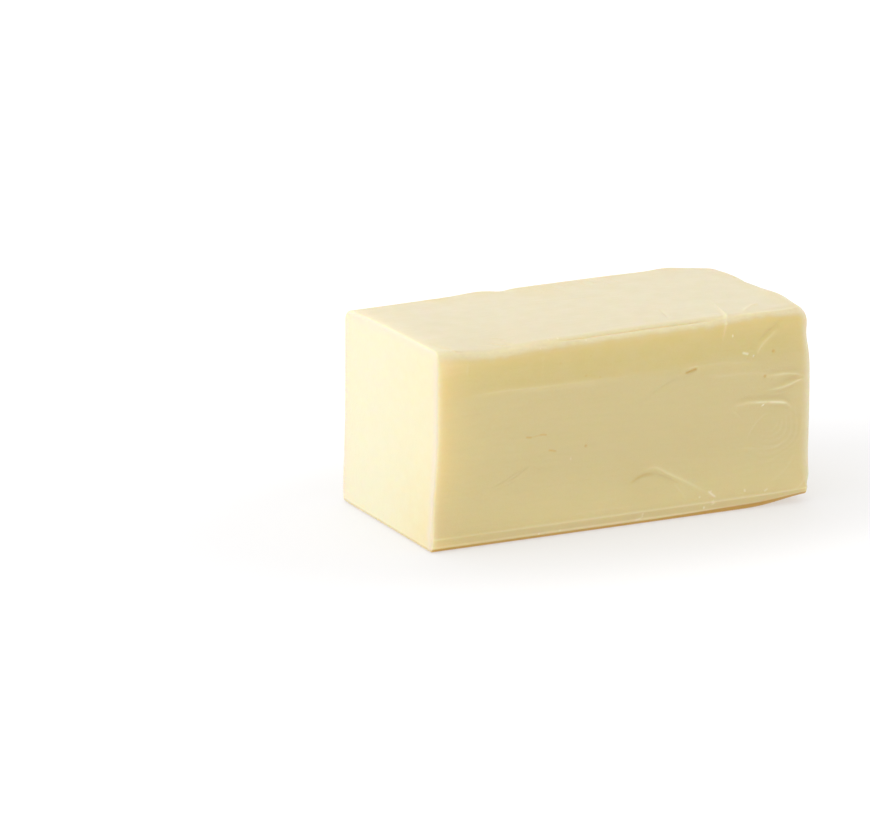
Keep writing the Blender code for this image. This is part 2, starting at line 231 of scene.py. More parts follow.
# Cheese
SCATTER_WEIGHT = 0.7
SCATTER_RADIUS = (1.0, 0.62, 0.26)
SCATTER_SCALE = 0.010
CHEESE_IOR = 1.45
NOISES = {  # cells to the metre along X, Y and Z
    "clouds": (42.0, 42.0, 60.0),
    "patches": (110.0, 110.0, 150.0),
    "streaks": (60.0, 520.0, 520.0),
    "grain": (420.0, 700.0, 700.0),
    "speckle": (1500.0, 1500.0, 1500.0),
}
NOISE_DETAIL = 2.0
NOISE_RANGE = (0.3, 0.7)  # noise seldom leaves this range
GOLD_RANGE = (0.75, 1.1)  # shares of the gold, the brow and the rim that uneven skin shows
BROW_RANGE = (0.6, 1.1)
RIM_RANGE = (0.7, 1.15)
TINTS = [  # tint, noise that it follows, strength
    (WARM_COLOUR, "clouds", 0.14),
    (COOL_COLOUR, "patches", 0.14),
    (COOL_COLOUR, "streaks", 0.24),
    (WARM_COLOUR, "speckle", 0.52),
]
CUT_CALM = 0.7  # share of the tints that the cut face lacks
ROUGHNESS_RANGE = (0.34, 0.46)
GLINT_POLISH = -0.12
RELIEF = {"streaks": 0.6, "speckle": 0.4, "patches": 1.2}
RELIEF_STRENGTH = 0.5
RELIEF_DEPTH = 0.0004

# Stage, in metres
FLOOR_HALF = 6.0
FLOOR_GAP = 0.0002
FLOOR_COLOUR = (0.35, 0.35, 0.36, 1.0)
FLOOR_ROUGHNESS = 0.7
FLOOR_SPECULAR = 0.2
FLOOR_GLOW = (1.0, 0.988, 0.972, 1.0)
FLOOR_SHINE = 0.55  # strength of its glow under the block, and further away
FAR_SHINE = 0.72
SHINE_FROM = 0.08  # distances from the middle between which it grows
SHINE_TO = 0.19
SHINE_STRETCH = (0.5, 1.0, 1.0)  # the dimmer floor reaches twice as far along the block as across it
BRIGHT_WAY = (-0.45, 0.75, 0.45)  # side from which the world's light is strongest
BRIGHT_BLEND = 0.6  # half the turn over which it changes
DIM_STRENGTH = 0.75
BRIGHT_STRENGTH = 1.05
SEEN_STRENGTH = 1.05  # of the world's white, as the camera sees it
LAMPS = [  # name, place, point that it faces, size, power
    ("overhead", (-0.35, 0.35, 1.5), (0.0, 0.0, 0.0), (1.6, 1.2), 4.0),
    ("left", (-1.6, 0.25, 0.55), (0.0, 0.0, 0.04), (1.0, 1.0), 7.5),
]

# Camera, in metres
IMAGE_WIDTH = 870
SENSOR = 36.0
FOCAL_PIXELS = 6395.2
CLIP_END = 50.0
ELEVATION = np.radians(15.50)
AZIMUTH = np.radians(26.37)
ROLL = np.radians(0.13)
DISTANCE = 3.0
ASIDE = 0.06767  # how far the block's middle lies to the right of the view's centre, and above it
ABOVE = 0.00691


def ease(t):
    """Smooth step from 0 to 1."""
    t = np.clip(t, 0.0, 1.0)
    return t * t * (3.0 - 2.0 * t)


def rise(value, start, run):
    """Smooth step from 0 at the start of a run to 1 at its end."""
    return ease((value - start) / run)


def fade(z, head):
    """Smooth step from 1 at the base to 0 at the given height."""
    return ease((head - z) / head)


def hump(x, middle, reach):
    """Bell curve with height 1."""
    return np.exp(-(((x - middle) / reach) ** 2))


def front(*spots):
    """Points on the near long side, given by x and z."""
    return [(x, -WIDTH / 2, z) for x, z in spots]


def back(*spots):
    """Points on the far long side, given by x and z."""
    return [(x, WIDTH / 2, z) for x, z in spots]


def top(*spots):
    """Points on the top, given by x and y."""
    return [(x, y, HEIGHT) for x, y in spots]


def packed(*spots):
    """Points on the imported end, given by y and z."""
    return [(LENGTH / 2, y, z) for y, z in spots]


# Creases and folds: points, height (grooves negative), width, depth of the groove beside a fold
CREASES = [
    # long faint line that the film leaves along the near side
    (front((-86, 72.6), (-66, 73.8), (-44, 72.8), (28, 72.4)), 0.22, 1.6, 0.0),
    (front((26, 72.3), (40, 72.8), (56, 72.3), (75, 70)), 0.2, 1.6, 0.0),
    # nick in the near side with a faint tail
    (front((29, 70), (32.9, 70.8), (36.5, 72)), -0.45, 1.0, 0.0),
    (front((6, 58.5), (13.8, 63.5), (21.6, 67.1), (29, 70)), -0.25, 1.5, 0.0),
    # sweeping fold low on the near side, and the hollow under it
    (front((5, 25), (13.5, 27), (20, 23.7), (32.5, 16.7), (46.5, 8)), 0.45, 1.5, 0.0),
    (front((1.5, 21.6), (6.5, 23.4), (12, 24), (19, 21.6), (29, 16)), -0.4, 1.3, 0.0),
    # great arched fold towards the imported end
    (front((51, 50), (61, 52), (69, 51.8), (76, 51), (83, 49.8), (90, 43)), 0.6, 1.4, 0.35),
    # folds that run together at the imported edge
    (front((71, 63.8), (79.8, 63.9), (86.2, 63.5), (95.5, 61)), 0.45, 1.4, 0.25),
    (front((73, 56.8), (80.8, 57.6), (89, 59.9), (95.5, 60.8)), 0.45, 1.4, 0.25),
    # slanting folds below the near top corner
    (front((67.5, 74.5), (69.3, 78.4), (75, 83.4), (80.5, 88)), 0.35, 1.6, 0.0),
    (front((67.5, 80.5), (73.4, 85), (77, 87.8), (82.5, 91.5)), -0.35, 1.6, 0.0),
    # pinch that crosses the near top edge
    (top((59.5, -16), (56.4, -28), (52.5, -45.4)) + front((51, 92), (50, 88), (49, 82)), 0.36, 1.4, 0.0),
    (top((77.5, -31.5), (70, -36.4), (61, -44.7)), 0.35, 1.5, 0.0),
    # crease along the near top edge
    (top((-40, -47.1), (-27, -47.4), (16.5, -47.6), (37, -47.5), (51, -46.8)), -0.4, 1.3, 0.0),
    (top((52, -46.2), (64.6, -46.4), (77, -45.8), (89.6, -44), (96, -40.5)), 0.3, 1.3, 0.0),
    # nicks in the top
    (top((-93, -29.5), (-91.6, -38.8), (-88, -44.5)), -0.4, 1.3, 0.0),
    (top((-63, -34.5), (-59.5, -42.5), (-58.8, -46.5)), -0.3, 1.2, 0.0),
    (top((29.6, -20), (28, -29.5), (25.8, -40)), -0.3, 1.4, 0.0),
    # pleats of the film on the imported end
    (packed((9, 94), (10, 80), (4, 66), (-10, 58), (-40, 61)), 0.5, 1.6, 0.3),
    (packed((10, 93), (20, 74), (24, 50), (20, 26)), 0.45, 1.6, 0.3),
    (packed((44, 70), (26, 56), (6, 50), (-20, 38), (-42, 34)), 0.4, 1.8, 0.2),
    # folds on the far side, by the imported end
    (back((95, 62), (86, 60), (72, 63), (58, 62)), 0.45, 1.5, 0.25),
    (back((95, 34), (84, 41), (70, 42), (56, 38)), 0.5, 1.5, 0.3),
    (back((-88, 70), (-50, 72), (-8, 71), (40, 73)), 0.2, 1.8, 0.0),
]

# Dents (negative) and swellings: place, height, reach
DENTS = [
    (top((-33.5, 44)), 0.6, 9.0),
    (top((-20.5, 46)), -0.9, 5.0),
    (top((68, 45)), 0.7, 8.0),
    (top((94, 40)), -0.9, 10.0),
    (packed((9, 92)), -1.7, 5.0),
    (packed((-20, 92)), 1.4, 12.0),
    (packed((-44, 80)), -1.4, 8.0),
    (front((84, 33)), -0.3, 9.0),
    (front((19, 14)), -0.35, 8.0),
    (back((60, 30)), -0.5, 14.0),
    (back((-20, 55)), -0.4, 22.0),
]

# Fine lines that the film pressed into the skin: points, height (grooves negative), width. The raised ones
# show paler than the skin, a painted highlight, and the grooves darker, painted shade.
FILM_LINES = [
    # film's edge along the near side, doubled
    (front((-86, 72.6), (-66, 73.8), (-44, 72.8), (28, 72.4)), 0.05, 1.3),
    (front((-66, 71.5), (-44, 71.2), (-20, 70.9), (10, 71.1)), 0.03, 0.9),
    # round the arched fold
    (front((76, 49.2), (82.8, 47.5), (86.7, 45.4), (90.2, 41.5)), -0.12, 0.6),
    (front((54.4, 49.6), (57, 47.3), (59.3, 45.2)), 0.08, 0.5),
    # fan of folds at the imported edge
    (front((81, 61.8), (88.2, 60.7), (95, 60.9)), -0.16, 0.5),
    (front((79, 57.3), (85.2, 58.4), (89.1, 59.8), (93.5, 61)), 0.22, 0.4),
    (front((78, 64.1), (82.3, 64.1), (88, 63.3), (94, 61.5)), 0.12, 0.6),
    (front((73.5, 56.2), (79.8, 55.9), (85, 56.8), (89.5, 58.3)), -0.14, 0.5),
    (front((77, 53.6), (83, 54.4), (88, 56)), -0.08, 0.45),
    (front((37, 68), (49, 66.7), (58.3, 66.6), (69.1, 65.6), (75, 64.2)), 0.09, 0.9),
    # nick and its tail
    (front((30.5, 72.1), (33.9, 72.8), (37, 73.2)), 0.12, 0.4),
    (front((6.5, 58.8), (13.8, 63.4), (21.6, 67), (28.5, 69.8)), -0.08, 0.5),
    # pinch and slanting folds below the top edge
    (front((51.3, 92.4), (50.3, 89), (49.3, 84), (48.7, 80.5)), 0.04, 0.5),
    (front((67.7, 73.8), (68.6, 77.2), (71.4, 80.8), (75.4, 83.5)), 0.06, 0.55),
    (front((67, 80.3), (70.7, 83.2), (75.5, 86.7), (80.5, 90.3)), -0.12, 0.45),
    # sweeping fold low down
    (front((8, 26), (13.6, 27), (19, 24.6), (25.1, 20.4), (32.5, 16.7)), 0.02, 0.5),
    (front((32.5, 16.7), (37.7, 13.5), (42, 10.7), (46.4, 8)), 0.05, 0.5),
    (front((2, 20.7), (6.5, 22.9), (10.5, 23.5), (14.5, 22.9)), -0.12, 0.6),
    (front((14, 23.8), (19.2, 21.9), (23, 19.6), (28.5, 16.2)), -0.12, 0.5),
    (front((22.9, 19.5), (27.2, 14.1), (31.5, 8.7)), 0.08, 0.5),
    # loops pressed in by the film's end
    (front((62, 31.5), (64, 37), (68, 42.2), (72, 45), (75.5, 46.3)), 0.08, 0.5),
    (front((52, 31), (64.2, 29.9), (72.5, 28.4), (78, 28.6), (82.3, 30.9), (86, 36)), 0.1, 0.5),
    (front((71, 10.9), (79.6, 14.4), (86.3, 20.1), (89, 26.5)), 0.06, 0.6),
    (front((87.5, 5.9), (91, 8), (93.3, 10.7), (94, 15)), 0.16, 0.5),
    # scratches
    (front((-72.5, 26.8), (-65.4, 29.3), (-59.1, 32.6), (-50.4, 36)), -0.22, 0.35),
    (front((-64.5, 28.6), (-59.1, 31), (-54.4, 33.7), (-49.4, 36.7)), -0.25, 0.35),
    (front((-70, 26.1), (-63, 27.8), (-56.5, 30.3)), -0.14, 0.35),
    (front((-50.3, 35.7), (-45.3, 32.6)), -0.16, 0.35),
    # marks that run down from the top edge
    (front((-44.5, 90.3), (-44.7, 82), (-45, 74)), 0.03, 0.8),
    (front((-82.7, 90), (-83.2, 86.5), (-83.6, 82.5)), 0.08, 0.5),
    # doubled line along the near top edge
    (top((-40, -47.2), (-27, -47.6), (16, -47.8), (37, -47.7), (51, -47)), -0.22, 0.55),
    (top((-66, -45.3), (-40, -44.8), (-12, -44.2), (8, -44.8), (49, -45.6)), 0.03, 0.6),
    (front((-34, 90.9), (-15, 91.4), (6, 91.4), (22, 91.2), (42, 91.2)), 0.02, 0.55),
    (top((52, -46.1), (64.6, -46.3), (77, -45.8), (89.6, -44), (95.5, -41)), 0.04, 0.5),
    # star of lines where the pinch meets the edge
    (top((59, -18), (56.4, -27.9), (54, -38.2), (52.6, -45)), 0.05, 0.5),
    (top((57.4, -22), (55, -31), (52.6, -39)), -0.1, 0.45),
    (top((77, -31.6), (69.9, -36.4), (61, -44.6)), 0.06, 0.7),
    # marks on the top by the cut end
    (top((-95.8, -30), (-93.7, -37.7), (-90.6, -41.9), (-88, -45.7), (-83, -46.9)), -0.3, 0.6),
    (top((-68, -34), (-64.4, -39.3), (-61.8, -42.9), (-57.5, -42.4)), -0.28, 0.6),
    (top((-65.5, -32), (-60.7, -34.1), (-57.6, -39)), -0.2, 0.5),
    (top((-64, -35), (-59.5, -40.5)), 0.14, 0.8),
    (top((-76.7, -36.5), (-69, -39.6), (-65, -45.5)), 0.1, 0.8),
    # stray marks on the top
    (top((29.6, -20), (28, -29.5), (26, -39)), -0.14, 0.55),
    (top((36, -28), (42.8, -26), (47.5, -28), (45, -38)), -0.07, 0.5),
    (top((17.9, 15.2), (22, 15.9), (26.9, 15.2)), -0.1, 0.5),
    (top((-30.8, 18), (-11.4, 12.7), (4.9, 10.7), (21.7, 9.2)), -0.1, 0.7),
    # second line above the seam
    (front((-35, 9.2), (-15, 9.9), (6, 9.6)), 0.07, 0.45),
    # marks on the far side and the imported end
    (back((60, 70), (66, 66), (75, 64.5), (88, 61.5)), 0.12, 0.5),
    (back((52, 44), (62, 45), (74, 46), (90, 40)), 0.1, 0.5),
    (back((-60, 30), (-48, 34), (-38, 40)), -0.1, 0.35),
    (back((-20, 88), (-21, 78), (-20.5, 70)), 0.07, 0.6),
    (packed((14, 88), (15, 74), (9, 62), (-6, 53)), 0.12, 0.5),
    (packed((30, 82), (30, 64), (34, 50)), 0.1, 0.5),
    (packed((-38, 46), (-22, 47), (-8, 44)), -0.12, 0.5),
]

# Faint grooves pressed across the far side of the top
HATCH_LINES = 9
HATCH_START = -8.0
HATCH_STEP = 5.2
HATCH_LEAN = 2.2
HATCH_FAR = 44.0
HATCH_NEAR = 24.0
HATCH_SPREAD = 6.0  # unevenness of their near ends, by a sine
HATCH_TURN = 2.4  # radians of that sine from groove to groove
HATCH_DEPTH = 0.16
HATCH_WIDTH = 0.6
for count in range(HATCH_LINES):
    x = HATCH_START + HATCH_STEP * count
    near_end = HATCH_NEAR + HATCH_SPREAD * np.sin(HATCH_TURN * count)
    FILM_LINES.append((top((x, HATCH_FAR), (x + HATCH_LEAN, near_end)), -HATCH_DEPTH, HATCH_WIDTH))

# Nicks of the skin, painted with amber shade: points, depth, width
NICKS = [
    (front((28.6, 70), (32.9, 70.8), (36.4, 72)), 0.32, 0.45),
    (front((-54, 49.6), (-51.8, 49.2), (-49.8, 49.1)), 0.26, 0.36),
    (front((-50.6, 49.1), (-46, 49.7)), 0.12, 0.3),
    (front((-47, 49.7), (-44.5, 49.7), (-42.3, 49.1)), 0.24, 0.34),
    (front((-42.3, 42.1), (-39.7, 41.5), (-37.2, 40.8)), 0.26, 0.36),
    (front((0.2, 20.3), (3.5, 21.8), (6.5, 23.1), (10, 23.8), (14.6, 23.1)), 0.12, 0.75),
    (back((-12, 36), (-8, 36.6), (-4.5, 36)), 0.3, 0.45),
    (packed((-22, 24), (-17, 25), (-13, 24.6)), 0.3, 0.5),
]

# Pits of the skin, painted with amber shade too: place, depth, reach
PITS = [
    (front((-22.4, 41.7)), 0.3, 0.6),
    (front((72, 63.8)), 0.3, 0.65),
    (front((76.4, 75.5)), 0.35, 0.75),
    (front((-22.4, 75.4)), 0.18, 0.5),
    (front((-15.1, 73.9)), 0.18, 0.5),
    (front((-19.8, 84.7)), 0.12, 0.45),
    (front((-35.5, 83.2)), 0.1, 0.45),
    (front((62.7, 73.4)), 0.1, 0.45),
    (front((64.2, 78.5)), 0.1, 0.45),
    (front((59.7, 79.6)), 0.1, 0.45),
    (front((75.9, 62)), 0.1, 0.4),
    (back((30, 66)), 0.25, 0.6),
    (back((-66, 48)), 0.2, 0.5),
    (back((-40, 22)), 0.2, 0.55),
    (back((10, 18)), 0.15, 0.5),
    (packed((28, 36)), 0.25, 0.6),
    (packed((-12, 74)), 0.2, 0.5),
    (top((91, 16.2)), 0.35, 0.7),
]

# Pale glints and specks, painted highlights raised a little off the skin: points, height, width
GLINTS = [
    (front((54.1, 85.2), (54.9, 85.3)), 0.25, 0.55),
    (front((59.4, 76.6), (63.4, 75.4)), 0.22, 0.5),
    (front((65.4, 74.5), (66, 74.3)), 0.25, 0.5),
    (front((70.7, 50.4), (71.2, 49.6)), 0.35, 0.6),
    (front((41.9, 12.1), (44, 10.2), (46.6, 8.2)), 0.25, 0.45),
    (front((43.4, 11.9), (44.1, 11.2)), 0.2, 0.4),
    (front((44.3, 7.2), (45.3, 4.8)), 0.12, 0.8),
    (front((37.2, 9.2), (38.3, 9.8)), 0.2, 0.4),
    (front((39.6, 4), (40.8, 4)), 0.25, 0.6),
    (front((61.7, 10.4), (62, 8.8)), 0.22, 0.45),
    (front((71.9, 7.8), (74.5, 9.2)), 0.16, 0.4),
    (front((7.8, 6.1), (7.5, 4.4), (7.4, 3)), 0.12, 0.45),
    (front((7.4, 3.2), (3.8, 2.4)), 0.14, 0.5),
    (front((-47, 2.4), (-46, 2.4)), 0.2, 0.4),
    (front((-36, 2.6), (-35, 2.6)), 0.2, 0.4),
    (front((-30.6, 36.5), (-30, 36.5)), 0.15, 0.5),
    (front((72.5, 51.5), (77, 50.9), (81, 50.2), (84.5, 49.3)), 0.16, 0.5),
    (front((66, 51.9), (70, 51.6), (74, 51.3)), 0.08, 0.45),
    (top((52, -45.2), (53, -45.8)), 0.12, 0.7),
    (front((51.2, 92), (50.9, 90.8)), 0.1, 0.6),
    (front((50, 6.7), (64.5, 6.8), (80.5, 6.4), (91, 7.4)), 0.03, 0.5),
    (top((-40.5, -45.2), (-40, -45.2)), 0.25, 0.5),
    (top((-36, -45.2), (-35, -45.2)), 0.25, 0.5),
    (front((-46, 91.5), (-45.5, 91.7)), 0.2, 0.45),
    (front((-22.4, 92.8), (-21.4, 92.8)), 0.15, 0.5),
    (back((84, 41.6), (78, 42.6), (71, 42.5)), 0.14, 0.5),
    (back((-30, 60), (-29.2, 59.6)), 0.2, 0.5),
    (packed((6, 68), (3.5, 65.5), (0, 63)), 0.16, 0.5),
    (packed((20, 54), (10, 51.5)), 0.12, 0.5),
]

# Soft stains of the skin: place, strength (darker above 0, golder below it), reach
STAINS = [
    (front((-80, 3)), 0.25, 22.0),
    (front((-79.1, 64.6)), 0.15, 4.0),
    (front((-60.2, 55.3)), 0.12, 4.0),
    (front((-48.6, 38.2)), 0.15, 5.0),
    (front((5, 20)), 0.2, 9.0),
    (front((86, 62.5)), 0.2, 4.0),
    (front((-84, 87)), -0.25, 4.5),
    (front((-91, 86.5)), -0.2, 4.0),
    (front((47, 89)), -0.6, 2.4),
    (front((-31, 92.6)), -0.5, 2.2),
    (front((-26, 92.8)), -0.5, 2.2),
    (top((-90, -41)), -0.3, 3.0),
    (front((53.4, 87.3)), -0.8, 2.0),
    (front((23.3, 88.3)), -0.5, 3.5),
    (top((-65, 31)), 0.2, 7.0),
    (top((-89, 28)), -0.4, 9.0),
    (top((-8, 35)), -0.4, 12.0),
    (top((-58, 40)), -0.5, 10.0),
    (back((40, 40)), 0.12, 12.0),
    (back((-70, 60)), -0.4, 10.0),
    (packed((-30, 20)), 0.12, 10.0),
]


def run_of_lines(size):
    """Places of the grid lines across one dimension, closer over the rounded edges."""
    strip = np.linspace(0.0, EDGE_STRIP, STRIP_LINES + 1)
    stops = np.union1d(strip, size - strip)
    lines = [stops[0]]
    for stop in stops[1:]:
        count = max(1, int(np.ceil((stop - lines[-1]) / CELL)))
        lines.extend(np.linspace(lines[-1], stop, count + 1)[1:])
    return np.array(lines)


def box_grid(xs, ys, zs):
    """Bmesh of the six sides of a box, cut along the given lines and closed."""
    grid = bmesh.new()
    lines = (xs, ys, zs)
    found = {}

    def corner(index):
        """The grid's point at an index into each set of lines."""
        if index not in found:
            found[index] = grid.verts.new([line[i] for line, i in zip(lines, index)])
        return found[index]

    for axis in range(3):
        first, second = (axis + 1) % 3, (axis + 2) % 3
        for level, turn in ((0, -1), (len(lines[axis]) - 1, 1)):
            for i in range(len(lines[first]) - 1):
                for j in range(len(lines[second]) - 1):
                    loop = []
                    for di, dj in ((0, 0), (1, 0), (1, 1), (0, 1)):
                        index = [level] * 3
                        index[first] = i + di
                        index[second] = j + dj
                        loop.append(corner(tuple(index)))
                    grid.faces.new(loop[::turn])
    return grid


def curve_points(points):
    """Smooth curve through the given points (Catmull-Rom)."""
    p = np.array(points, dtype=float)
    p = np.vstack([2 * p[0] - p[1], p, 2 * p[-1] - p[-2]])
    t = np.linspace(0.0, 1.0, CURVE_STEPS, endpoint=False)[:, None]
    legs = []
    for a, b, c, d in zip(p, p[1:], p[2:], p[3:]):
        bend = (2 * a - 5 * b + 4 * c - d) * t**2 + (3 * (b - c) + d - a) * t**3
        legs.append(b + ((c - a) * t + bend) / 2)
    legs.append(p[-2:-1])
    return np.vstack(legs)


def beside(places, outward, points, reach):
    """Distance of each place on the skin from a curve, and how far along the curve its nearest spot is.

    The distance is positive to the left of the curve's run, seen from outside. Places further than `reach`
    from the curve's box get an infinite distance.
    """
    line = curve_points(points)
    margin = reach + CURVE_DEPTH
    low, high = line.min(axis=0) - margin, line.max(axis=0) + margin
    near = np.flatnonzero(((places > low) & (places < high)).all(axis=1))
    spots, ways = places[near], outward[near]
    nearest = np.full(len(near), np.inf)
    side = np.zeros(len(near))
    share_along = np.zeros(len(near))
    for k, (a, b) in enumerate(zip(line, line[1:])):
        leg = b - a
        share = np.clip((spots - a) @ leg / (leg @ leg), 0.0, 1.0)
        off = spots - a - share[:, None] * leg
        depth = np.clip(np.einsum("ij,ij->i", off, ways), -CURVE_DEPTH, CURVE_DEPTH)
        off -= depth[:, None] * ways
        distance = np.linalg.norm(off, axis=1)
        closer = distance < nearest
        nearest[closer] = distance[closer]
        side[closer] = np.einsum("ij,ij->i", off, np.cross(ways, leg))[closer]
        share_along[closer] = ((k + share) / (len(line) - 1))[closer]
    distances = np.full(len(places), np.inf)
    along = np.zeros(len(places))
    distances[near] = nearest * np.where(side < 0, -1.0, 1.0)
    along[near] = share_along
    return distances, along


def end_radius(way, up):
    """Radius of the rounding round an end; `up` runs from -1 at its foot to 1 at its head."""
    packed_radius = PACKED_FOOT + (PACKED_EDGE - PACKED_FOOT) * rise(up, -1.0, FOOT_SHARE)
    packed_radius += (PACKED_HEAD - PACKED_EDGE) * rise(up, 1.0 - HEAD_SHARE, HEAD_SHARE)
    return np.where(way < 0, CUT_EDGE, packed_radius)


def long_radius(x, aside, up):
    """Radius of the long edges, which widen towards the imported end; `aside` runs from -1 near to 1 far."""
    far = rise(aside, -0.5, 1.0)
    plain = np.where(up > 0.0, NEAR_EDGE + (FAR_EDGE - NEAR_EDGE) * far, BASE_EDGE)
    widened = np.where(up > 0.0, NEAR_CORNER + (FAR_CORNER - NEAR_CORNER) * far, PACKED_FOOT)
    return plain + (widened - plain) * rise(x, HALF[0] - CORNER_RUN, CORNER_RUN)


def over_edge(distance, half, radius, room):
    """Spreads the grid's edge strip evenly over a quarter round of the given radius."""
    turn = np.tan(np.radians(45.0) * np.clip(1.0 - distance / EDGE_STRIP, 0.0, 1.0))
    beyond = (distance - EDGE_STRIP) * (room - radius) / (half - EDGE_STRIP)
    return np.where(distance < EDGE_STRIP, radius * (1.0 - turn), radius + beyond)


def round_edges(p):
    """Place and outward direction on the rounded block for points p on the sharp box."""
    way = np.sign(p[:, 0])
    flat = np.column_stack([p[:, 1] / HALF[1], (p[:, 2] - HALF[2]) / HALF[2]])
    spread = np.abs(flat).max(axis=1)
    rim = flat / np.maximum(spread, ON_RIM)[:, None]
    on_end = spread < 1.0 - ON_RIM

    edge = end_radius(way, rim[:, 1])
    inward = over_edge((1.0 - spread) * HALF[1], HALF[1], edge, HALF[1])
    behind = over_edge(HALF[0] - np.abs(p[:, 0]), HALF[0], edge, HALF[0])
    ahead = np.where(on_end, edge, np.clip(edge - behind, 0.0, None))
    aside = np.where(on_end, np.clip(edge - inward, 0.0, None), edge)
    length = np.hypot(ahead, aside)
    ahead, aside = ahead / length, aside / length
    inset = np.where(on_end & (aside == 0.0), inward, edge * (1.0 - aside))
    shrink = 1.0 - inset / HALF[1]
    x = np.where(ahead > 0.0, HALF[0] - edge * (1.0 - ahead), HALF[0] - behind)

    room = HALF[1:] * shrink[:, None]
    radius = np.maximum(long_radius(way * x, rim[:, 0], rim[:, 1]) - inset, LEAST_RADIUS)
    radius = np.minimum(radius, room.min(axis=1) / 2)[:, None]
    drawn = room - over_edge((1.0 - np.abs(rim)) * HALF[1:], HALF[1:], radius, room)
    plain = room * np.abs(rim)
    depth = rise(inward[:, None], EDGE_STRIP, EDGE_STRIP) * on_end[:, None]
    target = np.sign(rim) * np.where(np.abs(rim) > 1.0 - ON_RIM, room, drawn + (plain - drawn) * depth)
    core = np.clip(target, radius - room, room - radius)
    off = target - core
    off /= np.maximum(np.linalg.norm(off, axis=1), ON_RIM)[:, None]
    section = core + off * radius

    place = np.column_stack([way * x, section[:, 0], section[:, 1] + HALF[2]])
    outward = np.column_stack([way * ahead, off[:, 0] * aside, off[:, 1] * aside])
    return place, outward


def seam_profile(z):
    """How far the sides stand out at height z: a lip at the seam and a drawn-in band below it."""
    return SEAM_LIP * hump(z, SEAM_HEIGHT, SEAM_WIDTH) - SEAM_TUCK * fade(z, SEAM_HEIGHT)


def edge_sag(x, sags):
    """How far a long edge sags at x."""
    return sum(height * hump(x, middle, reach) for middle, height, reach in sags)


def settle(place, outward):
    """Belly, spread foot, leaning cut, sagging edges and lifted end: the block's large soft forms."""
    x, y, z = place.T
    upright = np.sin(np.pi * np.clip(z / HEIGHT, 0.0, 1.0))
    lengthwise = np.cos(np.pi * np.clip(x / LENGTH, -0.5, 0.5))
    sideways = np.cos(np.pi * np.clip(y / WIDTH, -0.5, 0.5))
    moved = place.copy()

    side = np.sign(y) * np.abs(outward[:, 1])
    foot = FOOT_FLARE * fade(z, FOOT_FLARE_RISE)
    moved[:, 1] += side * (FRONT_CROWN * upright * np.sqrt(lengthwise) + foot + seam_profile(z))
    moved[:, 2] += np.clip(outward[:, 2], 0.0, 1.0) * TOP_CROWN * lengthwise * sideways
    belly = END_CROWN * upright * (END_FLATNESS + (1.0 - END_FLATNESS) * sideways)
    tuck = END_TUCK * ease((END_TUCK_TOP - z) / (END_TUCK_TOP - SEAM_HEIGHT))
    moved[:, 0] += np.clip(outward[:, 0], 0.0, 1.0) * (belly - tuck + seam_profile(z))

    far = (y + HALF[1]) / WIDTH
    lean = CUT_LEAN * (1.0 - CUT_FADE * far) * fade(z, CUT_LEAN_TOP)
    moved[:, 0] -= ease((CUT_REACH - HALF[0] - x) / CUT_REACH) * (lean + CUT_SKEW * far)

    near_share = hump(np.hypot(y + HALF[1], HEIGHT - z), 0.0, EDGE_REACH)
    near_sag = near_share * edge_sag(x, NEAR_SAGS)
    far_share = hump(np.hypot(y - HALF[1], HEIGHT - z), 0.0, EDGE_REACH)
    moved[:, 2] += near_sag + far_share * edge_sag(x, FAR_SAGS)
    moved[:, 1] -= SAG_DRAW * near_sag

    lift = LIFT * rise(x, HALF[0] - LIFT_RUN, LIFT_RUN) ** LIFT_CURVE
    moved[:, 2] += lift * fade(z, SEAM_HEIGHT + LIFT_MARGIN)
    return moved


def run_beside(place, outward, points, width, taper):
    """Distance of each place from a curve, and a share that fades towards the curve's ends."""
    distance, along = beside(place, outward, points, BELL_REACH * width)
    return distance, ease(along / taper) * ease((1.0 - along) / taper)


def folds(place, outward, creases):
    """Height of a set of creases."""
    height = np.zeros(len(place))
    for points, most, width, groove in creases:
        distance, share = run_beside(place, outward, points, width, CREASE_TAPER)
        fold = most * hump(distance, 0.0, width)
        fold -= groove * hump(distance, GROOVE_OFFSET * width, width)
        height += share * fold
    return height


def film_lines(place, outward):
    """Height of the film's fine lines and of the sharp crests that the creases carry."""
    crests = [(points, CREST_SHARE * most, CREST_WIDTH) for points, most, *_ in CREASES if most > 0.0]
    return folds(place, outward, [(*row, 0.0) for row in FILM_LINES + crests])


def marks(place, outward, rows):
    """Depth or height of a set of short marks, which don't add up where they meet."""
    height = np.zeros(len(place))
    for points, most, width in rows:
        distance, share = run_beside(place, outward, points, width, MARK_TAPER)
        height = np.maximum(height, most * share * hump(distance, 0.0, width))
    return height


def bumps(place, spots):
    """Height of a set of round dents and swellings."""
    height = np.zeros(len(place))
    for middle, most, reach in spots:
        distance = np.linalg.norm(place - np.array(middle), axis=1)
        height += most * hump(distance, 0.0, reach)
    return height


def loops(place, outward):
    """Height of the loops that the film's end pressed into the near side."""
    x, y, z = place.T
    off_x, off_z = x - LOOPS_MIDDLE[0], z - LOOPS_MIDDLE[1]
    distance = np.hypot(off_x, off_z)
    shift = LOOPS_WOBBLE * np.sin(x / LOOPS_WAVES[0]) * np.sin(z / LOOPS_WAVES[1])
    wave = np.cos(2.0 * np.pi * (distance + shift) / LOOPS_STEP)
    share = ease((LOOPS_REACH - distance) / LOOPS_FADE) * ease(distance / LOOPS_FADE)
    aside = (LOOPS_WAY[0] * off_x + LOOPS_WAY[1] * off_z) / np.maximum(distance, 1.0)
    share *= LOOPS_LEAST + (1.0 - LOOPS_LEAST) * ease(aside)
    return LOOPS_HEIGHT * wave * share * np.clip(-outward[:, 1], 0.0, 1.0)


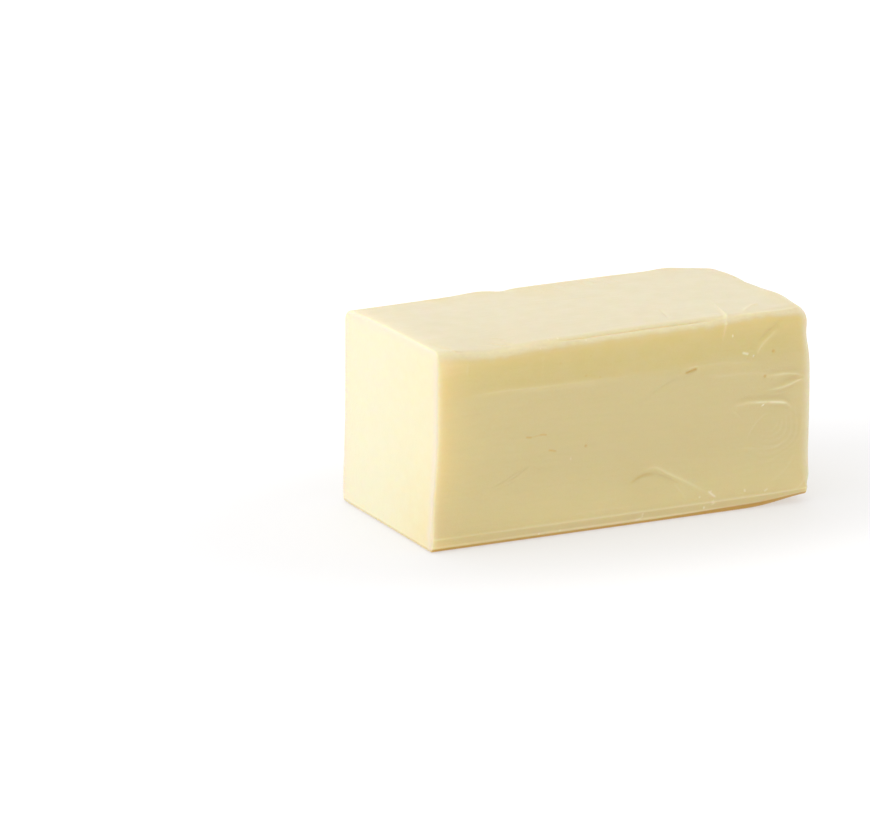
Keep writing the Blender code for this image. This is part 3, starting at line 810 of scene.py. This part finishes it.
def refine(grid):
    """Splits the cells of the shown sides, and further those round each crease, line, nick and pit."""
    size = CELL
    line_rows = [row[0] for row in FILM_LINES + NICKS + GLINTS]
    while size > FINE_CELL:
        middles = np.array([face.calc_center_median() for face in grid.faces])
        places, outward = round_edges(middles)
        split = np.zeros(len(places), dtype=bool)
        if size > SHOWN_CELL:
            ahead, aside, up = outward.T
            split |= (ahead > -CUT_TURN) & (aside < SIDE_TURN) & (up > -SIDE_TURN)
        if size > CREASE_CELL:
            for points, *_ in CREASES:
                split |= np.abs(beside(places, outward, points, CREASE_REACH)[0]) < CREASE_REACH
            split |= np.linalg.norm(places - np.array(front(LOOPS_MIDDLE)), axis=1) < LOOPS_REACH
        reach = LINE_REACH + size / 2
        for points in line_rows:
            split |= np.abs(beside(places, outward, points, reach)[0]) < reach
        for middle, *_ in PITS:
            split |= np.linalg.norm(places - np.array(middle), axis=1) < reach
        chosen = set()
        for face, wanted in zip(grid.faces, split):
            if wanted:
                chosen.update(edge for edge in face.edges if edge.calc_length() > size / 2)
        bmesh.ops.subdivide_edges(grid, edges=list(chosen), cuts=1, use_grid_fill=True)
        size /= 2


def cream_share(place):
    """How much of the top's cream shows: all of it on the top, and some over the edges."""
    x, y, z = place.T
    ripple, unevenness, swell = BROW_WAVES
    below = HEIGHT - z - np.minimum(HALF[1] - np.abs(y), HALF[0] - x)
    below += BROW_SHIFT * rise(x, BROW_FROM, BROW_RUN)
    below += BROW_WOBBLE * np.sin(x / ripple + BROW_UNEVENNESS * np.sin(x / unevenness)) * np.sin(x / swell)
    return 1.0 - rise(below, BROW_TOP, BROW_FOOT - BROW_TOP)


def skin_gold(place, band, cream):
    """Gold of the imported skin: above the film's edge, along the top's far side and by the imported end."""
    x, y, z = place.T
    blend = FILM_BLEND + FILM_SPREAD * rise(x, FILM_SPREAD_FROM, FILM_SPREAD_RUN)
    film = ease((z - FILM_MIDDLE) / blend + 0.5) * (LEAST_GOLD + (1.0 - LEAST_GOLD) * band) * (1.0 - cream)
    far_edge = cream * FAR_GOLD * rise(y, FAR_GOLD_FROM, FAR_GOLD_RUN)
    packed_edge = cream * PACKED_GOLD * rise(x, HALF[0] - PACKED_GOLD_RUN, PACKED_GOLD_RUN)
    return film + far_edge + packed_edge


def cut_shade(place):
    """Painted shade of the cut face, a darker gold, up its near side and most of all at that side's foot."""
    x, y, z = place.T
    side = ease((CUT_SIDE_SHADE_FROM - y) / CUT_SIDE_SHADE_RUN)
    foot = fade(z, CUT_FOOT_RISE) * ease((CUT_FOOT_FROM - y) / CUT_FOOT_RUN)
    return CUT_SIDE_SHADE * side + (1.0 - CUT_SIDE_SHADE) * foot


def rim_highlight(place, turn, fresh):
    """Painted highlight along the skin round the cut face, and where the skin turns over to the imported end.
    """
    x, y, z = place.T
    top_rim = TOP_RIM * rise(z, TOP_RIM_FROM, TOP_RIM_RUN) * np.exp(-(x + HALF[0]) / TOP_RIM_REACH)
    cut_edge = np.maximum(hump(x, -HALF[0], RIM_REACH), top_rim)
    packed_edge = (turn > 0.0) * 4.0 * turn**2 * (1.0 - turn**2)  # 1 halfway round the edge
    return (1.0 - fresh) * cut_edge + PACKED_RIM * packed_edge


def zones(place, outward):
    """How strongly each of the skin's colours shows at each place, and how much paler or darker it is; many
    of these are painted light and shade.
    """
    x, y, z = place.T
    turn = outward[:, 0]
    sideways = np.clip(np.maximum(np.abs(outward[:, 1]), turn), 0.0, 1.0)
    fresh = rise(-turn, FRESH_TURN, FRESH_BLEND)
    cream = cream_share(place)
    band = np.clip((z - FILM_MIDDLE) / (HEIGHT - FILM_MIDDLE), 0.0, 1.0)
    stain = bumps(place, STAINS)
    # painted highlight where the top's cream turns over the edges
    brow_highlight = cream * ease((1.0 - outward[:, 2]) / BROW_TURN) * (1.0 - np.clip(-stain, 0.0, 1.0))
    gold = np.clip(skin_gold(place, band, cream) + np.clip(-stain, 0.0, None), 0.0, 1.0)

    # painted light: the glow of light through the cheese, and the sides painted lighter low down
    through = np.exp(-(x + HALF[0]) / GLOW_REACH) + BAND_GLOW * band**2
    low = (1.0 - rise(z, LOW_FROM, LOW_RUN)) * rise(z, SEAM_HEIGHT / 2, SEAM_HEIGHT)
    foot_full = FOOT_FULL + FOOT_SPREAD * rise(x, FOOT_SPREAD_FROM, FOOT_SPREAD_RUN)
    shares = {
        "fresh": fresh,
        "upper": cream,
        "brow_highlight": brow_highlight,
        # on the cut face this share carries the cut's painted shade
        "gold": (1.0 - fresh) * gold + fresh * cut_shade(place),
        "glow": sideways * np.clip(through, 0.0, 1.0),
        "low": sideways * low,
        "rim": rim_highlight(place, turn, fresh),
        "cut_rim_sheen": fresh * hump(np.minimum(HEIGHT - z, HALF[1] - np.abs(y)), CUT_RIM_INSET, CUT_RIM_REACH),
        # painted contact shadow along the base
        "foot": (1.0 - rise(z, foot_full, FOOT_FADE)) * (1.0 - FOOT_ON_CUT * fresh),
    }
    # painted highlights and shade of the seam lines, less the stains' darkening
    seam = sum(tone * hump(z, height, reach) for height, tone, reach in FOOT_TONES)
    return shares, sideways * seam * (1.0 - fresh) - np.clip(stain, 0.0, None)


def fitted(place, node):
    """The shape moved and scaled into a CAD node's box, in metres."""
    low, high = (np.array(corner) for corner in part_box(node))
    least, most = place.min(axis=0), place.max(axis=0)
    return low + (place - least) * (high - low) / (most - least)


def block_mesh():
    """The block's fine mesh, with the numbers that its material reads at each of its points."""
    xs = run_of_lines(LENGTH) - HALF[0]
    ys = run_of_lines(WIDTH) - HALF[1]
    zs = np.union1d(run_of_lines(HEIGHT), FOOT_LINES)
    grid = box_grid(xs, ys, zs)
    refine(grid)
    bmesh.ops.triangulate(grid, faces=grid.faces)
    mesh = bpy.data.meshes.new("cheese_block")
    grid.to_mesh(mesh)
    grid.free()
    flat = np.empty(3 * len(mesh.vertices), np.float32)
    mesh.vertices.foreach_get("co", flat)
    place, outward = round_edges(flat.reshape(-1, 3).astype(float))

    crease = folds(place, outward, CREASES)
    fine = film_lines(place, outward) + loops(place, outward)
    nick = marks(place, outward, NICKS) + bumps(place, PITS)
    glint = marks(place, outward, GLINTS)
    height = crease + bumps(place, DENTS) + fine - nick + GLINT_RELIEF * glint
    height *= 1.0 - rise(-outward[:, 2], BASE_TURN, BASE_TURN)
    shape = fitted(settle(place, outward) + outward * height[:, None], "mozzarella_block")
    mesh.vertices.foreach_set("co", shape.astype(np.float32).ravel())
    mesh.shade_smooth()
    mesh.update()

    shares, tone = zones(place, outward)
    # painted highlights on ridges and painted shade in grooves, from the relief's heights; stains darken too
    tone += crease / CREASE_TONE + fine / LINE_TONE
    shares["highlight"] = np.clip(tone, 0.0, 1.0)
    shares["stain_and_shade"] = np.clip(-DARK_SHARE * tone, 0.0, 1.0)
    shares["nick_and_pit_shade"] = np.clip(nick / DEEPEST_PIT, 0.0, 1.0)
    shares["glint"] = np.clip(glint / CLEAREST_GLINT, 0.0, 1.0)
    for name, values in shares.items():
        mesh.attributes.new(name, "FLOAT", "POINT").data.foreach_set("value", values.astype(np.float32))
    return mesh


class Nodes:
    """Adds nodes to a material's or the world's tree."""

    def __init__(self, tree):
        self.tree = tree

    def fill(self, node, inputs):
        """Sets inputs of a node to values, or links them to other nodes' outputs."""
        for socket, value in inputs.items():
            if isinstance(value, bpy.types.NodeSocket):
                self.tree.links.new(value, node.inputs[socket])
            else:
                node.inputs[socket].default_value = value

    def add(self, kind, inputs, **settings):
        """A node with the given inputs and settings."""
        node = self.tree.nodes.new(kind)
        for name, value in settings.items():
            setattr(node, name, value)
        self.fill(node, inputs)
        return node

    def spread(self, value, start, end, low, high, **settings):
        """A value that runs from start to end, turned into one that runs from low to high."""
        inputs = {"Value": value, "From Min": start, "From Max": end, "To Min": low, "To Max": high}
        return self.add("ShaderNodeMapRange", inputs, **settings).outputs["Result"]


class Painter(Nodes):
    """Makes a material and adds its nodes."""

    def __init__(self, name):
        self.material = bpy.data.materials.new(name)
        self.material.use_nodes = True
        super().__init__(self.material.node_tree)
        self.shader = self.tree.nodes["Principled BSDF"]
        self.place = self.tree.nodes.new("ShaderNodeTexCoord").outputs["Object"]

    def share(self, name):
        """One of the numbers that the mesh holds for each of its points."""
        return self.add("ShaderNodeAttribute", {}, attribute_name=name).outputs["Fac"]

    def scaled(self, scale):
        """Place on the object, in metres times the given scale along X, Y and Z."""
        return self.add("ShaderNodeMapping", {"Vector": self.place, "Scale": scale}).outputs["Vector"]

    def noise(self, cells):
        """Noise with the given number of cells to the metre along X, Y and Z."""
        inputs = {"Vector": self.scaled(cells), "Scale": 1.0, "Detail": NOISE_DETAIL}
        return self.add("ShaderNodeTexNoise", inputs).outputs["Fac"]

    def uneven(self, noise, low, high):
        """Noise that mostly lies between low and high."""
        return self.spread(noise, *NOISE_RANGE, low, high)

    def maths(self, operation, first, second):
        """Sum, difference or product of two values."""
        return self.add("ShaderNodeMath", {0: first, 1: second}, operation=operation).outputs[0]

    def mix(self, first, second, share, blend="MIX"):
        """The first colour with a share of the second laid over it."""
        inputs = {6: first, 7: second, 0: share}  # the sockets for colours
        return self.add("ShaderNodeMix", inputs, data_type="RGBA", blend_type=blend).outputs[2]


def cheese_colour(paint, noises):
    """Gold by the edges, cream on top, near white where it is freshly cut, and marked as the mesh says, with
    painted light and shade laid over: glow, highlights, sheen, and shade in grooves, nicks, on the cut and
    along the foot.
    """
    upper, fresh = paint.share("upper"), paint.share("fresh")
    gold = paint.maths("MULTIPLY", paint.share("gold"), paint.uneven(noises["patches"], *GOLD_RANGE))
    brow_highlight = paint.maths("MULTIPLY", paint.share("brow_highlight"), paint.uneven(noises["grain"], *BROW_RANGE))
    # painted highlight along the edges
    rim = paint.maths("MULTIPLY", paint.share("rim"), paint.uneven(noises["grain"], *RIM_RANGE))
    top = paint.mix(TOP_COLOUR, TOP_GOLD_COLOUR, gold)
    colour = paint.mix(SIDE_COLOUR, GOLD_COLOUR, gold)
    for layer, most in (
        (GLOW_COLOUR, paint.share("glow")),
        (LOW_LIGHT_COLOUR, paint.share("low")),
        (paint.mix(top, BROW_HIGHLIGHT_COLOUR, brow_highlight), upper),
        (paint.mix(CUT_COLOUR, CUT_SHADE_COLOUR, gold), fresh),
        (CUT_RIM_SHEEN_COLOUR, paint.share("cut_rim_sheen")),
        (RIM_HIGHLIGHT_COLOUR, rim),
        (paint.mix(STAIN_AND_SHADE_COLOUR, TOP_STAIN_AND_SHADE_COLOUR, upper), paint.share("stain_and_shade")),
        (HIGHLIGHT_COLOUR, paint.share("highlight")),
        (NICK_AND_PIT_SHADE_COLOUR, paint.share("nick_and_pit_shade")),
        (CONTACT_SHADOW_COLOUR, paint.share("foot")),
        (GLINT_COLOUR, paint.share("glint")),
    ):
        colour = paint.mix(colour, layer, most)
    skin = paint.maths("SUBTRACT", 1.0, paint.maths("MULTIPLY", fresh, CUT_CALM))
    for tint, name, strength in TINTS:
        most = paint.maths("MULTIPLY", skin, paint.uneven(noises[name], 0.0, strength))
        colour = paint.mix(colour, tint, most, "MULTIPLY")
    return colour


def cheese_material():
    """Firm moist cheese that light passes into, with a faintly uneven skin."""
    paint = Painter("cheese")
    noises = {name: paint.noise(cells) for name, cells in NOISES.items()}
    polish = paint.maths("MULTIPLY", paint.share("glint"), GLINT_POLISH)
    relief = 0.0
    for name, share in RELIEF.items():
        relief = paint.maths("ADD", relief, paint.maths("MULTIPLY", noises[name], share))
    inputs = {"Height": relief, "Strength": RELIEF_STRENGTH, "Distance": RELIEF_DEPTH}
    bump = paint.add("ShaderNodeBump", inputs)
    paint.fill(
        paint.shader,
        {
            "Base Color": cheese_colour(paint, noises),
            "Roughness": paint.maths("ADD", paint.uneven(noises["patches"], *ROUGHNESS_RANGE), polish),
            "Normal": bump.outputs["Normal"],
            "IOR": CHEESE_IOR,
            "Subsurface Weight": SCATTER_WEIGHT,
            "Subsurface Radius": SCATTER_RADIUS,
            "Subsurface Scale": SCATTER_SCALE,
        },
    )
    return paint.material


def add_block():
    """The cheese, in the place of its plain solid."""
    block = bpy.data.objects.new("cheese_block", block_mesh())
    bpy.context.scene.collection.objects.link(block)
    block.data.materials.append(cheese_material())
    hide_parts("mozzarella_block")
    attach(block, "root")


def add_floor():
    """A wide pale table top, which shines a little, so that it stays white round the block."""
    mesh = bpy.data.meshes.new("floor")
    corners = [(x * FLOOR_HALF, y * FLOOR_HALF, 0.0) for x, y in ((-1, -1), (1, -1), (1, 1), (-1, 1))]
    mesh.from_pydata(corners, [], [(0, 1, 2, 3)])
    floor = bpy.data.objects.new("floor", mesh)
    floor.location.z = -FLOOR_GAP
    bpy.context.scene.collection.objects.link(floor)
    paint = Painter("floor")
    place = paint.scaled(SHINE_STRETCH)
    distance = paint.add("ShaderNodeVectorMath", {0: place}, operation="LENGTH").outputs["Value"]
    run = (distance, SHINE_FROM, SHINE_TO, FLOOR_SHINE, FAR_SHINE)
    paint.fill(
        paint.shader,
        {
            "Base Color": FLOOR_COLOUR,
            "Roughness": FLOOR_ROUGHNESS,
            "Specular IOR Level": FLOOR_SPECULAR,
            "Emission Color": FLOOR_GLOW,
            "Emission Strength": paint.spread(*run, interpolation_type="SMOOTHSTEP"),
        },
    )
    mesh.materials.append(paint.material)


def add_lamp(name, place, target, size, power):
    """A rectangular soft light that faces a point."""
    light = bpy.data.lights.new(name, "AREA")
    light.shape = "RECTANGLE"
    light.size, light.size_y = size
    light.energy = power
    lamp = bpy.data.objects.new(name, light)
    lamp.location = place
    lamp.rotation_euler = (Vector(target) - Vector(place)).to_track_quat("-Z", "Y").to_euler()
    bpy.context.scene.collection.objects.link(lamp)


def add_world():
    """White to the camera. Its light is strongest from the back, the left and above."""
    world = bpy.data.worlds.new("studio")
    bpy.context.scene.world = world
    world.use_nodes = True
    sky = Nodes(world.node_tree)
    ways = {0: sky.add("ShaderNodeTexCoord", {}).outputs["Generated"], 1: Vector(BRIGHT_WAY).normalized()}
    facing = sky.add("ShaderNodeVectorMath", ways, operation="DOT_PRODUCT").outputs["Value"]
    run = (facing, -BRIGHT_BLEND, BRIGHT_BLEND, DIM_STRENGTH, BRIGHT_STRENGTH)
    lit = sky.tree.nodes["Background"]
    sky.fill(lit, {"Color": WHITE, "Strength": sky.spread(*run, interpolation_type="SMOOTHSTEP")})
    seen = sky.add("ShaderNodeBackground", {"Color": WHITE, "Strength": SEEN_STRENGTH})
    to_camera = sky.add("ShaderNodeLightPath", {}).outputs["Is Camera Ray"]
    inputs = {"Fac": to_camera, 1: lit.outputs["Background"], 2: seen.outputs["Background"]}
    blend = sky.add("ShaderNodeMixShader", inputs)
    sky.fill(sky.tree.nodes["World Output"], {"Surface": blend.outputs["Shader"]})


def add_camera():
    """Looks at the block from the near left, a little from above."""
    back_way = np.array(
        [-np.sin(AZIMUTH) * np.cos(ELEVATION), -np.cos(AZIMUTH) * np.cos(ELEVATION), np.sin(ELEVATION)]
    )
    level_right = np.array([np.cos(AZIMUTH), -np.sin(AZIMUTH), 0.0])
    level_up = np.cross(back_way, level_right)
    right = level_right * np.cos(ROLL) + level_up * np.sin(ROLL)
    up = level_up * np.cos(ROLL) - level_right * np.sin(ROLL)
    middle = np.array([0.0, 0.0, HEIGHT / 2 * MM])
    place = middle - right * ASIDE - up * ABOVE + back_way * DISTANCE
    camera = bpy.data.objects.new("camera", bpy.data.cameras.new("camera"))
    bpy.context.scene.collection.objects.link(camera)
    camera.data.sensor_width = SENSOR
    camera.data.lens = FOCAL_PIXELS * SENSOR / IMAGE_WIDTH
    camera.data.clip_end = CLIP_END
    turn = Matrix((right, up, back_way)).transposed()
    camera.matrix_world = Matrix.Translation(place) @ turn.to_4x4()
    bpy.context.scene.camera = camera


add_block()
add_floor()
add_world()
for lamp in LAMPS:
    add_lamp(*lamp)
add_camera()
bpy.context.scene.view_settings.view_transform = "Standard"
